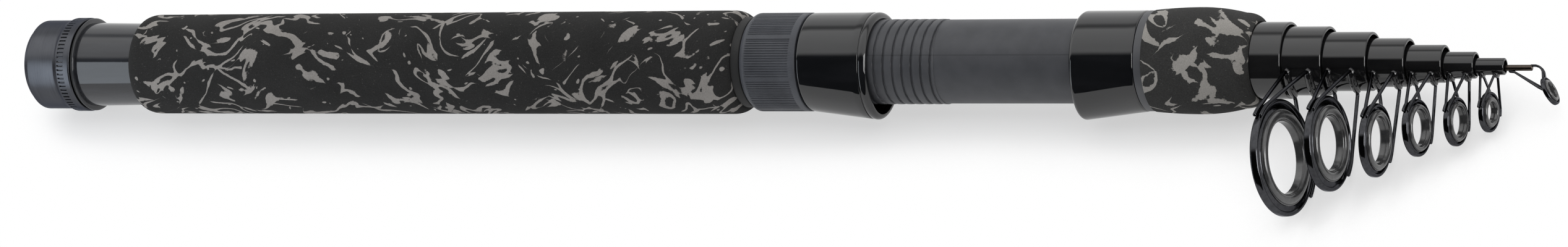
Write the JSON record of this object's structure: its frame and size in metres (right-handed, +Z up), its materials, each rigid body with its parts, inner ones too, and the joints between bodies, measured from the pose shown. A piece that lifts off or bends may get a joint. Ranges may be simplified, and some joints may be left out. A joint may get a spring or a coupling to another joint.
{
  "type": "telescopic fishing rod",
  "caption": "Telescopic fishing rod, collapsed: camouflage foam grips, screw-lock reel seat, nested gloss black tubes, two-foot wire line guides, tip-top and screw butt cap.",
  "frame": {"origin": "on the rod's axis, at the middle of the rear grip", "axes": "+X along the rod towards its tip, +Z up, line guides towards -Y; the rod lies on its side"},
  "size_m": [0.5008, 0.07, 0.0349],
  "materials": {
    "lacquer": "high-gloss black lacquer over carbon tube",
    "ferrule": "high-gloss dark grey",
    "foam": "matte EVA foam with a grey camouflage pattern",
    "hood": "high-gloss black",
    "seat": "matte slate",
    "nut": "matte slate, grooved",
    "cap": "brushed gunmetal anodised",
    "stud": "polished",
    "pad": "black rubber",
    "wire": "black chrome",
    "ceramic": "dark polished ceramic",
    "binding": "clear-coated black thread",
    "tip_tube": "bronze-black"
  },
  "bodies": {
    "handle": {"butt_blank": "lacquer", "butt_sleeve": "ferrule", "rear_grip": "foam", "grip_ring": "seat", "seat_barrel": "seat", "front_hood": "hood", "hood_ring": "seat", "fore_grip": "foam"},
    "cap_seal": {"cap_seal": "pad"},
    "butt_cap": {"butt_cap": "cap", "cap_stud": "stud", "cap_bumper": "pad"},
    "sliding_hood": {"sliding_hood": "hood"},
    "lock_nut": {"lock_nut": "nut"},
    "section_2": {"section_2": "lacquer", "guide_1_frame": "wire", "guide_1_rim": "wire", "guide_1_insert": "ceramic", "guide_1_binding": "binding"},
    "section_3": {"section_3": "lacquer", "guide_2_frame": "wire", "guide_2_rim": "wire", "guide_2_insert": "ceramic", "guide_2_binding": "binding"},
    "section_4": {"section_4": "lacquer", "guide_3_frame": "wire", "guide_3_rim": "wire", "guide_3_insert": "ceramic", "guide_3_binding": "binding"},
    "section_5": {"section_5": "lacquer", "guide_4_frame": "wire", "guide_4_rim": "wire", "guide_4_insert": "ceramic", "guide_4_binding": "binding"},
    "section_6": {"section_6": "lacquer", "guide_5_frame": "wire", "guide_5_rim": "wire", "guide_5_insert": "ceramic", "guide_5_binding": "binding"},
    "section_7": {"section_7": "lacquer", "guide_6_frame": "wire", "guide_6_rim": "wire", "guide_6_insert": "ceramic", "guide_6_binding": "binding"},
    "tip_section": {"tip_blank": "lacquer", "tip_top_tube": "tip_tube", "tip_top_frame": "wire", "tip_top_rim": "wire", "tip_top_insert": "ceramic"}
  },
  "joints": [
    {"name": "cap_slide", "type": "slide", "parent": "handle", "child": "cap_seal", "axis": [-1, 0, 0], "range_m": [0, 0.01]},
    {"name": "cap_turn", "type": "hinge", "parent": "cap_seal", "child": "butt_cap", "pos_m": [-0.1257, 0, 0], "axis": [-1, 0, 0], "range_deg": [0, 1800]},
    {"name": "hood_slide", "type": "slide", "parent": "handle", "child": "sliding_hood", "axis": [1, 0, 0], "range_m": [0, 0.039]},
    {"name": "nut_turn", "type": "hinge", "parent": "sliding_hood", "child": "lock_nut", "pos_m": [0.10605, 0, 0], "axis": [-1, 0, 0], "range_deg": [0, 4680]},
    {"name": "section_2_slide", "type": "slide", "parent": "handle", "child": "section_2", "axis": [1, 0, 0.0007], "range_m": [0, 0.376]},
    {"name": "section_3_slide", "type": "slide", "parent": "section_2", "child": "section_3", "axis": [1, 0, 0.0008], "range_m": [0, 0.3877]},
    {"name": "section_4_slide", "type": "slide", "parent": "section_3", "child": "section_4", "axis": [1, 0, 0.0013], "range_m": [0, 0.4005]},
    {"name": "section_5_slide", "type": "slide", "parent": "section_4", "child": "section_5", "axis": [1, 0, 0.0015], "range_m": [0, 0.4112]},
    {"name": "section_6_slide", "type": "slide", "parent": "section_5", "child": "section_6", "axis": [1, 0, 0.0015], "range_m": [0, 0.4216]},
    {"name": "section_7_slide", "type": "slide", "parent": "section_6", "child": "section_7", "axis": [1, 0, 0.0014], "range_m": [0, 0.4304]},
    {"name": "tip_slide", "type": "slide", "parent": "section_7", "child": "tip_section", "axis": [1, 0, 0.0014], "range_m": [0, 0.4388]}
  ],
  "couplings": [
    {"joint": "cap_slide", "follows": "cap_turn", "m_per_rad": 0.00031831},
    {"joint": "hood_slide", "follows": "nut_turn", "m_per_rad": 0.00047746}
  ]
}
